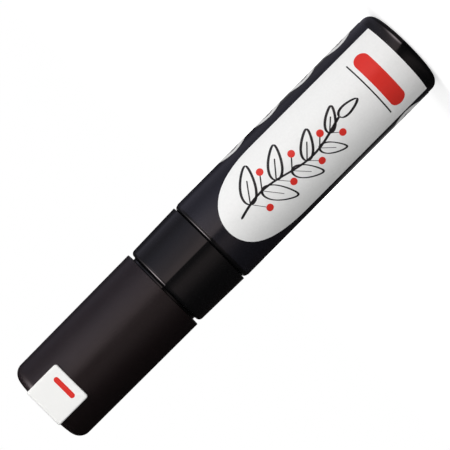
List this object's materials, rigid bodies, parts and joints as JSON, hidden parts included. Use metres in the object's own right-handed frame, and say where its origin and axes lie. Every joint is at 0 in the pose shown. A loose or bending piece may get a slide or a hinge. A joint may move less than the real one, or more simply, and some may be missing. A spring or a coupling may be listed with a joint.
{
  "type": "liquid chalk marker",
  "caption": "Capped broad chisel-tip liquid chalk marker: film-wrapped barrel with ink tank, collar, spring valve, nib and a cap with a flat anti-roll badge.",
  "frame": {"origin": "centre of the tail face, on which the capped marker stands", "axes": "+Z along the marker's axis from the tail to the cap; the front label panel and the badge's front face look along -Y"},
  "size_m": [0.0234, 0.0234, 0.12],
  "materials": {
    "barrel_plastic": "gloss",
    "printed_film": "gloss printed film",
    "collar_plastic": "gloss",
    "nib_fibre": "pressed fibre",
    "valve_plastic": "natural moulded",
    "seal_rubber": "matte",
    "spring_steel": "bright drawn wire",
    "cap_plastic": "satin",
    "liner_plastic": "natural moulded",
    "badge_plastic": "satin white",
    "ball_steel": "polished"
  },
  "bodies": {
    "marker_body": {"barrel": "barrel_plastic", "label_sleeve": "printed_film", "front_collar": "collar_plastic", "valve_housing": "valve_plastic", "valve_seat": "seal_rubber", "spring_retainer": "valve_plastic", "valve_spring": "spring_steel"},
    "nib_unit": {"nib": "nib_fibre", "valve_stem": "valve_plastic"},
    "cap_unit": {"cap": "cap_plastic", "inner_cap": "liner_plastic", "cap_badge": "badge_plastic"},
    "ball_one": {"mixing_ball_1": "ball_steel"},
    "ball_two": {"mixing_ball_2": "ball_steel"}
  },
  "joints": [
    {"name": "cap_pull", "type": "slide", "parent": "marker_body", "child": "cap_unit", "axis": [0, 0, 1], "range_m": [0, 0.05]},
    {"name": "nib_press", "type": "slide", "parent": "marker_body", "child": "nib_unit", "axis": [0, 0, -1], "range_m": [0, 0.002], "stiffness_N_per_m": 500, "springref_m": -0.002, "deforming": ["valve_spring"]},
    {"name": "ball_one_run", "type": "slide", "parent": "marker_body", "child": "ball_one", "axis": [0, 0, 1], "range_m": [0, 0.037]},
    {"name": "ball_two_run", "type": "slide", "parent": "marker_body", "child": "ball_two", "axis": [0, 0, 1], "range_m": [0, 0.037]}
  ]
}
